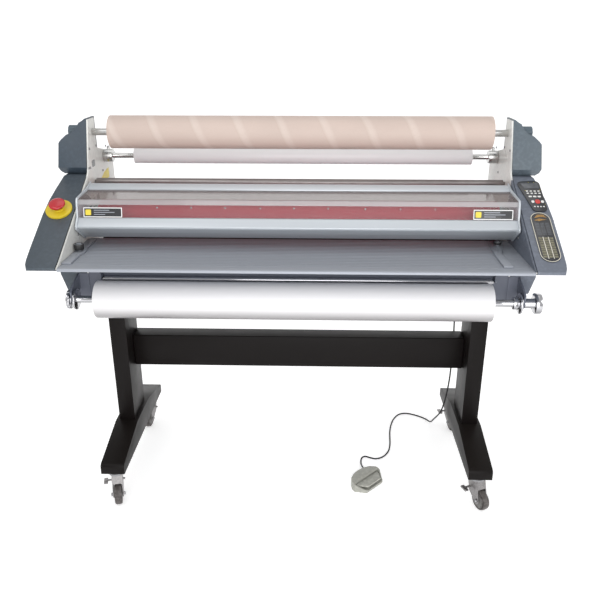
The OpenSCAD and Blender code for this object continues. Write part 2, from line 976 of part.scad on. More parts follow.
lift_shaft();
gap_knob();
drive_motor();
motor_pinion();
roller_gear();
shield_rails();
shield_window();
shield_ends();
feed_table();
exit_table();
guide_left();
guide_right();
control_panel();
estop_base();
estop_button();
footswitch_base();
footswitch_pedal();
footswitch_cord();
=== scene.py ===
import json
import math

import bmesh
import bpy
from mathutils import Matrix, Vector

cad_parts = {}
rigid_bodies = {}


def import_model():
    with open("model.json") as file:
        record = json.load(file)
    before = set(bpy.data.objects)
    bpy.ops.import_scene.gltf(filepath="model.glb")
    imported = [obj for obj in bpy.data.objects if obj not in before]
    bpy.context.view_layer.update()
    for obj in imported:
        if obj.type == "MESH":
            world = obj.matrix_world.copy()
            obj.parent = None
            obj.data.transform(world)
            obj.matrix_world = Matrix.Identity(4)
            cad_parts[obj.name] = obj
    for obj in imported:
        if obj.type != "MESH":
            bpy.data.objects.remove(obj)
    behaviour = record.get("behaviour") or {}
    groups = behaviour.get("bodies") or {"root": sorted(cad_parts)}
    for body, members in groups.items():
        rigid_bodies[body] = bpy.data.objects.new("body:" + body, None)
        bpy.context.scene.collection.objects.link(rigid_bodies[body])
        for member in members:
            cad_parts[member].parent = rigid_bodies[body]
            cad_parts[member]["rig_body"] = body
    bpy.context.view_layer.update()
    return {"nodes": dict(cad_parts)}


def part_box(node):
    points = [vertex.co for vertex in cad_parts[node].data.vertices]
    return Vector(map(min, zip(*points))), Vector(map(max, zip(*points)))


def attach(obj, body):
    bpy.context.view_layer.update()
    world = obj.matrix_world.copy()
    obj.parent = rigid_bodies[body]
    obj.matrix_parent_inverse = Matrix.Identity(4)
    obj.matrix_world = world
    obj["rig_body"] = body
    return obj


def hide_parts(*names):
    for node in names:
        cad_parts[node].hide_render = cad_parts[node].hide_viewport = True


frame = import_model()
nodes = frame["nodes"]

# Edges that turn by more than this stay sharp
SMOOTH = math.radians(32)

# ---------- places that pieces share, in millimetres ----------

PLATE_IN = 745
PLATE_OUT = 750
COVER_LEFT = 852
COVER_RIGHT = 846
POD_OUTER = 851
SHIELD_HALF = 735
TABLE_TOP = 938
# Lower and upper end of the covers' slope, in YZ
SLOPE_LOW = Vector((-335, 959))
SLOPE_HIGH = Vector((10, 1154))
FILM_AXIS = Vector((227, 1190))
SUPPLY_AXIS = Vector((-164, 754))
WHEEL_RADIUS = 38
TRAIL = 32


# ---------- camera ----------

CAMERA_AT = (0.069, -2.334, 1.623)
CAMERA_DOWN = 0.379
CAMERA_TURN = 0.026
cam_data = bpy.data.cameras.new("camera")
cam_data.lens = 40.2
cam_data.sensor_width = 36
cam = bpy.data.objects.new("camera", cam_data)
cam.location = CAMERA_AT
cam.rotation_euler = (math.radians(90) - CAMERA_DOWN, 0, CAMERA_TURN)
bpy.context.scene.collection.objects.link(cam)
bpy.context.scene.camera = cam


# ---------- materials ----------

class Surface:
    """A Principled material with helpers that add procedural detail to it."""

    def __init__(self, name, base, rough=0.5, metal=0.0, spec=0.5, alpha=1.0):
        self.mat = bpy.data.materials.new(name)
        self.mat.use_nodes = True
        self.tree = self.mat.node_tree
        self.out = self.tree.nodes["Material Output"]
        self.bsdf = self.tree.nodes["Principled BSDF"]
        self.base = base
        self.set("Base Color", (*base, 1))
        self.set("Roughness", rough)
        self.set("Metallic", metal)
        self.set("Specular IOR Level", spec)
        if alpha < 1:
            self.set("Alpha", alpha)
        self.height = None
        coord = self.node("ShaderNodeTexCoord")
        self.coord = coord.outputs["Object"]

    def set(self, socket, value):
        self.bsdf.inputs[socket].default_value = value
        return self

    def node(self, kind, **inputs):
        n = self.tree.nodes.new(kind)
        for key, value in inputs.items():
            setattr(n, key, value)
        return n

    def link(self, a, b):
        self.tree.links.new(a, b)

    def place(self, scale=(1, 1, 1), location=(0, 0, 0)):
        m = self.node("ShaderNodeMapping")
        m.inputs["Scale"].default_value = scale
        m.inputs["Location"].default_value = location
        self.link(self.coord, m.inputs["Vector"])
        return m.outputs["Vector"]

    def noise(self, size, stretch=(1, 1, 1), detail=3.0):
        """Noise whose features are about size metres across, longer along a stretched axis."""
        n = self.node("ShaderNodeTexNoise")
        self.link(self.place(tuple(1 / (size * s) for s in stretch)), n.inputs["Vector"])
        n.inputs["Scale"].default_value = 1
        n.inputs["Detail"].default_value = detail
        n.inputs["Roughness"].default_value = 0.55
        return n.outputs["Fac"]

    def math(self, op, a, b=None, clamp=False):
        n = self.node("ShaderNodeMath", operation=op, use_clamp=clamp)
        for socket, value in zip(n.inputs, (a, b)):
            if value is None:
                continue
            if isinstance(value, (int, float)):
                socket.default_value = value
            else:
                self.link(value, socket)
        return n.outputs[0]

    def ramp(self, fac, stops):
        """A curve through (place, value) stops."""
        n = self.node("ShaderNodeValToRGB")
        while len(n.color_ramp.elements) < len(stops):
            n.color_ramp.elements.new(0.5)
        for element, (at, value) in zip(n.color_ramp.elements, stops):
            element.position = at
            element.color = (value, value, value, 1)
        self.link(fac, n.inputs["Fac"])
        return n.outputs["Color"]

    def colour_now(self):
        links = self.bsdf.inputs["Base Color"].links
        if links:
            return links[0].from_socket
        rgb = self.node("ShaderNodeRGB")
        rgb.outputs[0].default_value = (*self.base, 1)
        return rgb.outputs[0]

    def tint(self, fac, colour, amount=1.0):
        """Mixes colour over what is there, by fac (0 to 1) times amount."""
        mix = self.node("ShaderNodeMix", data_type="RGBA", blend_type="MIX")
        before = self.colour_now()
        self.link(self.math("MULTIPLY", fac, amount, clamp=True), mix.inputs[0])
        self.link(before, mix.inputs[6])
        mix.inputs[7].default_value = (*colour, 1)
        self.link(mix.outputs[2], self.bsdf.inputs["Base Color"])
        return self

    def vary(self, size, amount, stretch=(1, 1, 1)):
        """Light and dark patches of about size metres."""
        fac = self.noise(size, stretch)
        light = tuple(min(1, c * (1 + amount)) for c in self.base)
        dark = tuple(c * (1 - amount) for c in self.base)
        self.tint(self.ramp(fac, [(0.42, 0.0), (0.7, 1.0)]), light, 0.8)
        self.tint(self.ramp(fac, [(0.3, 1.0), (0.55, 0.0)]), dark, 0.8)
        return self

    def gloss(self, size, low, high, stretch=(1, 1, 1)):
        """Roughness that wanders between low and high."""
        fac = self.ramp(self.noise(size, stretch, detail=4), [(0.3, low), (0.7, high)])
        self.link(fac, self.bsdf.inputs["Roughness"])
        return self

    def relief(self, size, depth, stretch=(1, 1, 1), detail=2.0):
        """Bump of depth metres with features of about size metres."""
        self.bump(self.noise(size, stretch, detail), depth)
        return self

    def bump(self, height, depth):
        n = self.node("ShaderNodeBump")
        n.inputs["Distance"].default_value = depth
        n.inputs["Strength"].default_value = 1.0
        self.link(height, n.inputs["Height"])
        if self.height is not None:
            self.link(self.height, n.inputs["Normal"])
        self.height = n.outputs["Normal"]
        self.link(self.height, self.bsdf.inputs["Normal"])
        return self

    def worn(self, colour, amount):
        """Lighter edges where paint rubs off."""
        geometry = self.node("ShaderNodeNewGeometry")
        edge = self.ramp(geometry.outputs["Pointiness"], [(0.505, 0.0), (0.55, 1.0)])
        broken = self.ramp(self.noise(0.012), [(0.45, 0.0), (0.65, 1.0)])
        self.tint(self.math("MULTIPLY", edge, broken), colour, amount)
        return self

    def dust(self, colour, amount=0.2, size=0.06):
        """Dust that settles on faces that look up."""
        geometry = self.node("ShaderNodeNewGeometry")
        split = self.node("ShaderNodeSeparateXYZ")
        self.link(geometry.outputs["Normal"], split.inputs[0])
        up = self.ramp(split.outputs["Z"], [(0.6, 0.0), (1.0, 1.0)])
        patch = self.ramp(self.noise(size), [(0.35, 0.2), (0.7, 1.0)])
        self.tint(self.math("MULTIPLY", up, patch), colour, amount)
        return self

    def shade_below(self, colour, amount=1.0, start=-0.1, end=-1.0):
        """Darker where a face looks down, as under a roll."""
        geometry = self.node("ShaderNodeNewGeometry")
        split = self.node("ShaderNodeSeparateXYZ")
        self.link(geometry.outputs["Normal"], split.inputs[0])
        down = self.node("ShaderNodeMapRange", interpolation_type="SMOOTHSTEP")
        for socket, value in (("From Min", start), ("From Max", end)):
            down.inputs[socket].default_value = value
        self.link(split.outputs["Z"], down.inputs["Value"])
        self.tint(down.outputs["Result"], colour, amount)
        return self

    def brushed(self, depth=0.00004):
        """Fine lines that run along X."""
        return self.relief(0.0006, depth, (3000, 1, 1))

    def turned(self, depth=0.00003):
        """Fine rings round an X axis, left by a lathe."""
        return self.relief(0.0007, depth, (1, 400, 400))


def paint(name, base, rough=0.4, peel=0.00006, vary=0.06):
    s = Surface(name, base, rough)
    s.vary(0.22, vary).gloss(0.05, rough * 0.85, min(1, rough * 1.2)).relief(0.0022, peel)
    return s


def stand_paint():
    """Satin black with a fine orange peel and a faint brown cast."""
    s = Surface("stand_black", (0.0060, 0.0046, 0.0044), 0.36, 0.0, 0.12)
    s.vary(0.35, 0.08).gloss(0.08, 0.34, 0.42).relief(0.0016, 0.000008)
    return s.dust((0.14, 0.12, 0.10), 0.05, 0.4)


def cover_paint(name, base):
    """Blue-grey powder coat with a fine grain and rubbed edges."""
    s = Surface(name, base, 0.46)
    s.vary(0.6, 0.03).gloss(0.10, 0.42, 0.50).relief(0.0011, 0.00003)
    light = tuple(c * 1.9 for c in base)
    return s.worn(light, 0.3).dust((0.30, 0.32, 0.34), 0.04, 0.7)


stand_black = stand_paint()
plate_white = paint("plate_white", (0.70, 0.70, 0.67), 0.32, 0.00003, 0.02).worn((0.5, 0.5, 0.5), 0.3)
# One blue-grey paint in two copies: the left cover and pod get a darker base (painted shade), the right
# ones a lighter base (painted light)
cover_left_shaded = cover_paint("cover_left_shaded", (0.047, 0.061, 0.076))
cover_right_lit = cover_paint("cover_right_lit", (0.122, 0.138, 0.172))
pod_left = cover_paint("pod_left", (0.037, 0.053, 0.072))
pod_right = cover_paint("pod_right", (0.094, 0.118, 0.139))
bracket_blue = paint("bracket_blue", (0.125, 0.136, 0.172), 0.46, 0.00003, 0.03)

turned_steel = Surface("turned_steel", (0.62, 0.62, 0.61), 0.28, 1.0).gloss(0.03, 0.22, 0.36).turned()
turned_steel.vary(0.05, 0.08)
# The upper idler's steel has a darker, brown-grey base: painted reflection of the kraft roll
steel_painted_reflection = Surface("steel_painted_reflection", (0.30, 0.275, 0.27), 0.38, 0.8).gloss(0.03, 0.32, 0.44).turned()
steel_painted_reflection.vary(0.05, 0.08)
chrome = Surface("chrome", (0.56, 0.56, 0.58), 0.14, 1.0).gloss(0.02, 0.10, 0.18).turned(0.00001)
chrome.shade_below((0.10, 0.10, 0.11), 0.85, 0.1)
zinc = Surface("zinc", (0.27, 0.26, 0.26), 0.40, 0.9).vary(0.006, 0.18).gloss(0.01, 0.3, 0.5)
zinc.relief(0.002, 0.00004)
bolt_steel = Surface("bolt_steel", (0.30, 0.30, 0.31), 0.35, 1.0).vary(0.004, 0.15).relief(0.001, 0.00003)
anodised = Surface("anodised", (0.55, 0.585, 0.62), 0.36, 0.35).vary(0.4, 0.04, (4, 1, 1)).brushed()
anodised.gloss(0.02, 0.32, 0.42, (60, 1, 1))
table_grey = Surface("table_grey", (0.31, 0.33, 0.37), 0.42, 0.25)
table_grey.vary(0.03, 0.04, (400, 1, 1)).brushed(0.00003).gloss(0.02, 0.36, 0.46, (400, 1, 1))
table_grey.dust((0.35, 0.33, 0.31), 0.05, 0.4)

film_white = Surface("film_white", (0.86, 0.86, 0.88), 0.34).vary(0.5, 0.012, (2, 6, 6))
film_white.gloss(0.05, 0.30, 0.38, (3, 20, 20)).relief(0.012, 0.00002, (1, 60, 60))
supply_white = Surface("supply_white", (0.84, 0.83, 0.84), 0.34).vary(0.5, 0.012, (2, 6, 6))
supply_white.gloss(0.05, 0.30, 0.38, (3, 20, 20)).relief(0.012, 0.00002, (1, 60, 60))
supply_white.shade_below((0.25, 0.24, 0.245), 1.0, 0.2, -0.8)

red_silicone = Surface("red_silicone", (0.74, 0.066, 0.098), 0.48).vary(0.5, 0.05, (1, 6, 6))
red_silicone.relief(0.0012, 0.00005, (1, 20, 20))
red_silicone.set("Subsurface Weight", 0.03)
black_rubber = Surface("black_rubber", (0.022, 0.022, 0.023), 0.6).vary(0.05, 0.2).relief(0.001, 0.00006)
wheel_grey = Surface("wheel_grey", (0.055, 0.047, 0.045), 0.55).vary(0.012, 0.15).relief(0.0015, 0.00008)
wheel_grey.worn((0.24, 0.23, 0.22), 0.5).dust((0.3, 0.27, 0.24), 0.10)
hub_dark = Surface("hub_dark", (0.14, 0.135, 0.13), 0.5).vary(0.008, 0.15).relief(0.0012, 0.00005)

black_plastic = Surface("black_plastic", (0.018, 0.018, 0.019), 0.42).vary(0.01, 0.2)
black_plastic.relief(0.0009, 0.00006)
knob_blue = Surface("knob_blue", (0.085, 0.115, 0.140), 0.45).vary(0.02, 0.1).relief(0.0010, 0.00006)
stop_red = Surface("stop_red", (0.42, 0.012, 0.020), 0.26).vary(0.02, 0.06).relief(0.0012, 0.00002)
stop_red.set("Coat Weight", 0.3)
stop_yellow = Surface("stop_yellow", (0.62, 0.47, 0.020), 0.36).vary(0.02, 0.05).relief(0.0010, 0.00003)
switch_grey = Surface("switch_grey", (0.33, 0.33, 0.295), 0.5).vary(0.03, 0.07).relief(0.0011, 0.00012)
switch_grey.worn((0.5, 0.5, 0.45), 0.5)
cord_black = Surface("cord_black", (0.007, 0.007, 0.008), 0.5, 0.0, 0.25).vary(0.01, 0.2)
cord_black.relief(0.0012, 0.00005)
panel_black = Surface("panel_black", (0.020, 0.021, 0.024), 0.28).vary(0.02, 0.15).relief(0.0008, 0.00002)
panel_black.set("Coat Weight", 0.4)
lcd_grey = Surface("lcd_grey", (0.085, 0.090, 0.100), 0.15).vary(0.008, 0.2)
key_white = Surface("key_white", (0.72, 0.72, 0.70), 0.35).vary(0.005, 0.05).relief(0.0008, 0.00002)
key_red = Surface("key_red", (0.55, 0.05, 0.04), 0.35).vary(0.005, 0.08)
print_cream = Surface("print_cream", (0.62, 0.59, 0.50), 0.4).vary(0.01, 0.05)
print_olive = Surface("print_olive", (0.16, 0.15, 0.10), 0.45).vary(0.006, 0.4)
label_amber = Surface("label_amber", (0.75, 0.60, 0.06), 0.4).vary(0.01, 0.06)
label_white = Surface("label_white", (0.80, 0.80, 0.80), 0.4).vary(0.01, 0.03)
print_bronze = Surface("print_bronze", (0.30, 0.17, 0.05), 0.4).vary(0.006, 0.3).relief(0.001, 0.00001)


def window_material(name, base, alpha):
    s = Surface(name, base, 0.06, 0.0, 0.5, alpha)
    s.relief(0.05, 0.0002, (3, 1, 1), 1)
    s.gloss(0.06, 0.04, 0.10)
    return s


# Length of one turn of the board's seam, and where on the core the seam starts
SEAM_PITCH = 0.152
SEAM_START = 20.62


def kraft_material(axis_y, axis_z, pitch):
    """Grey board wound in a spiral, with a paler strip along each seam."""
    s = Surface("kraft_board", (0.55, 0.445, 0.395), 0.58)
    at = s.place((1, 1, 1), (0, -axis_y, -axis_z))
    split = s.node("ShaderNodeSeparateXYZ")
    s.link(at, split.inputs[0])
    turn = s.math("ARCTAN2", split.outputs["Y"], split.outputs["Z"])
    turn = s.math("DIVIDE", turn, 2 * math.pi)
    along = s.math("DIVIDE", split.outputs["X"], pitch)
    wobble = s.math("MULTIPLY", s.noise(0.08), 0.05)
    phase = s.math("FRACT", s.math("ADD", s.math("ADD", along, turn), s.math("ADD", wobble, SEAM_START)))
    seam = s.ramp(phase, [(0.0, 0.0), (0.08, 1.0), (0.16, 0.85), (0.24, 0.0)])
    s.vary(0.11, 0.035, (2, 1, 1))
    s.tint(seam, (0.66, 0.570, 0.515), 0.5)
    line = s.ramp(phase, [(0.0, 1.0), (0.012, 0.0)])
    s.tint(line, (0.50, 0.39, 0.31), 0.5)
    fibre = s.noise(0.0015, (6, 1, 1), 4)
    s.tint(s.ramp(fibre, [(0.55, 0.0), (0.75, 1.0)]), (0.46, 0.35, 0.28), 0.30)
    s.relief(0.0015, 0.00010, (5, 1, 1), 4)
    s.bump(line, -0.0003)
    return s


clear_acrylic = window_material("clear_acrylic", (0.62, 0.66, 0.68), 0.06)
# Whitish, half-clear strip just below the fold: a painted highlight of the bend
painted_highlight_acrylic = window_material("painted_highlight_acrylic", (0.50, 0.49, 0.50), 0.50)
# Brown-grey, mostly opaque top strip: painted reflection of the kraft roll on the window's top face
painted_reflection_acrylic = window_material("painted_reflection_acrylic", (0.17, 0.130, 0.122), 0.62)


# ---------- mesh helpers ----------

def finish_mesh(bm, name, smooth=SMOOTH):
    """Makes a mesh from bm, smooth but for the edges that turn by more than the smooth angle."""
    bmesh.ops.recalc_face_normals(bm, faces=bm.faces)
    for f in bm.faces:
        f.smooth = True
    for e in bm.edges:
        e.smooth = len(e.link_faces) == 2 and e.calc_face_angle(0) < smooth
    mesh = bpy.data.meshes.new(name)
    bm.to_mesh(mesh)
    bm.free()
    return mesh


def add(name, bm, body, surface, replaces=(), smooth=SMOOTH):
    """Adds a piece that rides on body, and stands for the CAD nodes it replaces."""
    mesh = finish_mesh(bm, name, smooth)
    obj = bpy.data.objects.new(name, mesh)
    bpy.context.scene.collection.objects.link(obj)
    mesh.materials.append(surface.mat)
    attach(obj, body)
    if replaces:
        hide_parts(*replaces)
    return obj


def bevel(bm, width, segments=2, angle=30):
    """Rounds every edge that turns by more than angle."""
    limit = math.radians(angle)
    edges = [e for e in bm.edges if len(e.link_faces) == 2 and e.calc_face_angle(0) > limit]
    bmesh.ops.bevel(bm, geom=edges, offset=width, segments=segments, affect="EDGES", profile=0.5,
                    clamp_overlap=True)


def cad_mesh(node):
    """A copy of a CAD node's mesh with doubled points merged."""
    bm = bmesh.new()
    bm.from_mesh(nodes[node].data)
    bmesh.ops.remove_doubles(bm, verts=bm.verts, dist=2e-6)
    return bm


def refined(node, surface, width=0.001, segments=2):
    """Stands for a CAD node with the same shape, and rounded edges where width isn't 0."""
    bm = cad_mesh(node)
    if width:
        bmesh.ops.dissolve_limit(bm, angle_limit=math.radians(0.6), verts=bm.verts, edges=bm.edges)
        bmesh.ops.dissolve_degenerate(bm, edges=bm.edges, dist=1e-5)
        bevel(bm, width, segments)
    return add(node + "_look", bm, nodes[node]["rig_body"], surface, (node,))


def circle(r, n=40):
    return [(r * math.cos(2 * math.pi * k / n), r * math.sin(2 * math.pi * k / n)) for k in range(n)]


def lathe(profile, steps):
    """Turns (x, radius) points round the X axis."""
    bm = bmesh.new()
    rings = []
    for x, r in profile:
        around = [(0, 0)] if r == 0 else circle(r, steps)
        rings.append([bm.verts.new((x, y, z)) for y, z in around])
    for a, b in zip(rings, rings[1:]):
        for k in range(steps):
            n = (k + 1) % steps
            bm.faces.new((a[k], b[0], a[n]) if len(b) == 1 else (a[k], b[k], b[n], a[n]))
    return bm


def slab(outline, depth, matrix=Matrix(), edge=0.0, bm=None):
    """Extrudes an XY outline by depth along Z, rounds its edges and places it by matrix.

    With bm, the slab is added to it."""
    part = bmesh.new()
    bottom = [part.verts.new((x, y, 0)) for x, y in outline]
    face = part.faces.new(bottom)
    top = bmesh.ops.extrude_face_region(part, geom=[face])
    moved = [v for v in top["geom"] if isinstance(v, bmesh.types.BMVert)]
    bmesh.ops.translate(part, vec=(0, 0, depth), verts=moved)
    bmesh.ops.recalc_face_normals(part, faces=part.faces)
    if edge:
        bevel(part, edge, 2, 40)
    bmesh.ops.transform(part, matrix=matrix, verts=part.verts)
    return join(bm, part)


def join(bm, part):
    """Adds part to bm, or starts with part if there is no bm yet."""
    if bm is None:
        return part
    mesh = bpy.data.meshes.new("part")
    part.to_mesh(mesh)
    part.free()
    bm.from_mesh(mesh)
    bpy.data.meshes.remove(mesh)
    return bm


def rounded(w, h, r, n=5, at=(0, 0)):
    """Outline of a rectangle with round corners."""
    x, y = w / 2 - r, h / 2 - r
    points = []
    for cx, cy, a0 in ((x, y, 0), (-x, y, 90), (-x, -y, 180), (x, -y, 270)):
        for i in range(n + 1):
            a = math.radians(a0 + 90 * i / n)
            points.append((at[0] + cx + r * math.cos(a), at[1] + cy + r * math.sin(a)))
    return points


# ---------- cord ----------

# Route of the cord from its exit under the table to the foot switch, in millimetres
CORD_ROUTE = [
    (606, 62, 757), (606, 64, 735), (607, 76, 680), (611, 92, 590), (615, 96, 500), (616, 96, 400),
    (615, 100, 310), (611, 118, 220), (603, 152, 130), (588, 208, 58), (582, 250, 17), (570, 288, 5),
    (550, 310, 3.4), (516, 330, 3.4), (482, 340, 3.4), (450, 328, 3.4), (424, 290, 3.4), (407, 240, 3.4),
    (397, 190, 3.4), (392, 140, 3.4), (387, 86, 3.4), (375, 36, 3.4), (350, -2, 3.4), (320, -17, 3.4),
    (296, -10, 3.4), (276, -2, 3.4), (262, -14, 3.4), (257, -40, 3.4), (258, -68, 7),
    (263.67, -98.04, 14.6), (268.77, -110, 16), (272.28, -118.24, 16)]
CORD_RADIUS = 0.003
CORD_STEPS = 5


def spline_points(route, steps):
    """Points on a smooth curve through the route."""
    p = [Vector(q) / 1000 for q in route]
    out = []
    for i in range(len(p) - 1):
        a, b, c, d = p[max(0, i - 1)], p[i], p[i + 1], p[min(len(p) - 1, i + 2)]
        for k in range(steps):
            t = k / steps
            out.append(0.5 * (2 * b + (c - a) * t + (2 * a - 5 * b + 4 * c - d) * t * t
                              + (3 * b - a - 3 * c + d) * t ** 3))
    out.append(p[-1])
    return out


cord_path = spline_points(CORD_ROUTE, CORD_STEPS)
curve = bpy.data.curves.new("footswitch_cord_look", "CURVE")
curve.dimensions = "3D"
curve.bevel_depth = CORD_RADIUS
curve.bevel_resolution = 4
curve.use_fill_caps = True
spline = curve.splines.new("POLY")
spline.points.add(len(cord_path) - 1)
for point, co in zip(spline.points, cord_path):
    point.co = (*co, 1)
curve.materials.append(cord_black.mat)
cord_obj = bpy.data.objects.new("footswitch_cord_look", curve)
bpy.context.scene.collection.objects.link(cord_obj)
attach(cord_obj, "root")
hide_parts("footswitch_cord")


# ---------- pieces ----------

# Surface, width of the rounded edges in metres and their segments, for each CAD node
LOOKS = {
    "foot_left": (stand_black, 0.0035, 3), "foot_right": (stand_black, 0.0035, 3),
    "column_left": (stand_black, 0.0035, 3), "column_right": (stand_black, 0.0035, 3),
    "crossbar": (stand_black, 0.004, 3), "stand_bolts": (bolt_steel, 0.001, 2),
    "caster_plates": (zinc, 0.0008, 2),
    "side_plates": (plate_white, 0.0006, 1), "frame_bars": (plate_white, 0.0012, 2),
    "side_cover_left": (cover_left_shaded, 0.0025, 3), "side_cover_right": (cover_right_lit, 0.0025, 3),
    "pod_left": (pod_left, 0.003, 3), "pod_right": (pod_right, 0.003, 3),
    "supply_brackets": (bracket_blue, 0, 0),
    "takeup_shaft": (turned_steel, 0.001, 2),
    "tension_knob_left": (knob_blue, 0.0015, 3), "tension_knob_right": (knob_blue, 0.0015, 3),
    "film_shaft": (turned_steel, 0.0008, 2), "supply_shaft": (chrome, 0.001, 2),
    "supply_knob_left": (chrome, 0.0012, 2), "supply_knob_right": (chrome, 0.0015, 2),
    "lower_idler": (chrome, 0.001, 2), "upper_idler": (steel_painted_reflection, 0.001, 2),
    "top_roller": (red_silicone, 0.001, 2), "bottom_roller": (black_rubber, 0.001, 2),
    "roller_bearings": (turned_steel, 0.0008, 2), "lift_blocks": (zinc, 0.0008, 2),
    "lift_shaft": (turned_steel, 0, 0), "gap_knob": (black_plastic, 0.001, 2),
    "drive_motor": (black_plastic, 0.0015, 2), "motor_pinion": (turned_steel, 0, 0),
    "roller_gear": (turned_steel, 0, 0),
    "shield_rails": (anodised, 0.0012, 2),
    "shield_ends": (anodised, 0.001, 2),
    "feed_table": (table_grey, 0.0004, 1), "exit_table": (table_grey, 0.0004, 1),
    "guide_left": (table_grey, 0.0008, 2), "guide_right": (table_grey, 0.0008, 2),
    "control_panel": (panel_black, 0.0008, 2), "estop_base": (stop_yellow, 0.0006, 2),
    "estop_button": (stop_red, 0.0, 0),
    "footswitch_base": (switch_grey, 0.002, 3), "footswitch_pedal": (switch_grey, 0.0012, 2)}
for c in ("fl", "fr", "rl", "rr"):
    LOOKS["caster_fork_" + c] = (zinc, 0.0006, 2)
    LOOKS["caster_wheel_" + c] = (wheel_grey, 0.0, 0)
    LOOKS["caster_brake_" + c] = (zinc, 0.0008, 2)
for node, (surface, width, segments) in LOOKS.items():
    refined(node, surface, width, segments)

low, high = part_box("kraft_core")
kraft = kraft_material((low.y + high.y) / 2, (low.z + high.z) / 2, SEAM_PITCH)
refined("kraft_core", kraft, 0.001, 2)
refined("film_roll", film_white, 0.0012, 2)
refined("supply_roll", supply_white, 0.0012, 2)


# ---------- plates on planes ----------

def flat_on(origin, across, up):
    """Matrix whose XY plane is spanned by across and up at origin, with Z out of it (millimetres)."""
    x = Vector(across).normalized()
    z = x.cross(Vector(up)).normalized()
    y = z.cross(x)
    m = Matrix((x, y, z)).transposed().to_4x4()
    m.translation = Vector(origin) / 1000
    return m


def side_face(x, facing):
    """The plane at x that faces +X or -X, with its own X along +Y or -Y and its Y up."""
    return flat_on((x, 0, 0), (0, facing, 0), (0, 0, 1))


def plate_at(matrix, outline, height, at=(0, 0, 0), edge=0.0, bm=None):
    """A thin plate in millimetres on the plane of matrix, lifted and shifted by at."""
    placed = matrix @ Matrix.Translation(Vector(at) / 1000)
    return slab([(x / 1000, y / 1000) for x, y in outline], height / 1000, placed, edge / 1000, bm)


def box_outline(x0, y0, x1, y1):
    return [(x0, y0), (x1, y0), (x1, y1), (x0, y1)]


def ring_at(matrix, outer, inner, height, at=(0, 0, 0)):
    """A flat ring between two outlines with the same number of points."""
    bm = bmesh.new()
    rows = []
    for z in (0, height):
        for outline in (outer, inner):
            rows.append([bm.verts.new(((x + at[0]) / 1000, (y + at[1]) / 1000, (z + at[2]) / 1000))
                         for x, y in outline])
    low_out, low_in, high_out, high_in = rows
    for a, b in ((low_out, high_out), (high_out, high_in), (high_in, low_in), (low_in, low_out)):
        for k in range(len(a)):
            n = (k + 1) % len(a)
            bm.faces.new((a[k], a[n], b[n], b[k]))
    bmesh.ops.transform(bm, matrix=matrix, verts=bm.verts)
    return bm


def dome(matrix, at, radius, height, bm=None, steps=20, slot=True):
    """A round screw head in millimetres; with slot, its middle is sunk."""
    bm = bm or bmesh.new()
    profile = [(radius, 0), (radius, height * 0.35), (radius * 0.82, height * 0.8), (radius * 0.5, height)]
    if slot:
        profile += [(radius * 0.42, height * 0.98), (radius * 0.36, height * 0.5), (0, height * 0.5)]
    else:
        profile += [(0, height * 1.02)]
    rings = []
    for r, z in profile:
        around = [(0, 0)] if r == 0 else circle(r, steps)
        rings.append([bm.verts.new(matrix @ (Vector((at[0] + x, at[1] + y, at[2] + z)) / 1000))
                      for x, y in around])
    for a, b in zip(rings, rings[1:]):
        for k in range(steps):
            n = (k + 1) % steps
            bm.faces.new((a[k], a[n], b[0]) if len(b) == 1 else (a[k], a[n], b[n], b[k]))
    return bm


# ---------- window ----------

# Corners of the bent window in YZ, outer face first
TOP_EDGE = ((-25, 1112), (-25, 1108))
FOLD = ((-138, 1104), (-134.8, 1100.2))
# Lower end of the strip that carries the painted highlight below the fold
HIGHLIGHT_END = ((-141.9, 1087.4), (-138, 1086.5))
LOWER_EDGE = ((-152, 1044), (-147.9, 1044))


def along_x(outline, x0, x1):
    """Extrudes a YZ outline in millimetres from x0 to x1."""
    turn = Matrix(((0, 0, 1, x0 / 1000), (1, 0, 0, 0), (0, 1, 0, 0), (0, 0, 0, 1)))
    return slab([(y / 1000, z / 1000) for y, z in outline], (x1 - x0) / 1000, turn)


def window_strip(name, upper, lower, surface, replaces=()):
    strip = along_x([upper[0], lower[0], lower[1], upper[1]], -SHIELD_HALF, SHIELD_HALF)
    add("shield_window_" + name, strip, "shield", surface, replaces)


window_strip("front", HIGHLIGHT_END, LOWER_EDGE, clear_acrylic, ("shield_window",))
# The strip just below the fold carries a painted highlight
window_strip("bend_highlight", FOLD, HIGHLIGHT_END, painted_highlight_acrylic)
# The top strip's brown-grey is a painted reflection of the kraft roll
window_strip("top", TOP_EDGE, FOLD, painted_reflection_acrylic)

window_foot = Vector(LOWER_EDGE[0])
window_rise = Vector(FOLD[0]) - window_foot
window_face = flat_on((0, *window_foot), (1, 0, 0), (0, *window_rise))


def window_label(side, middle):
    """A dark plate with a light border, a plain square and three plain bars."""
    w, h, up = 131, 33, 19
    border = plate_at(window_face, rounded(w, h, 2, 3), 0.25, (middle, up, 0.05))
    inner = box_outline(-w / 2 + 3, -h / 2 + 3, w / 2 - 3, h / 2 - 3)
    field = plate_at(window_face, inner, 0.2, (middle, up, 0.3))
    mark = plate_at(window_face, rounded(19, 19, 3, 4), 0.15, (middle - 49, up, 0.5))
    bars = None
    for k, length in enumerate((52, 70, 38)):
        bar = box_outline(-30, 6 - 7 * k, -30 + length, 8.4 - 7 * k)
        bars = plate_at(window_face, bar, 0.12, (middle, up, 0.5), 0, bars)
    for name, part, surface in (("border", border, label_white), ("field", field, panel_black),
                                ("mark", mark, label_amber), ("bars", bars, table_grey)):
        add(f"window_label_{side}_{name}", part, "shield", surface)


window_label("left", -652)
window_label("right", 654)

screws = None
for x in (-468, -353, -239, -121, -8, 106, 230, 347, 462):
    screws = dome(window_face, (x, 36, 0), 3.2, 1.8, screws)
add("window_screws", screws, "shield", bolt_steel)


# ---------- control panel ----------

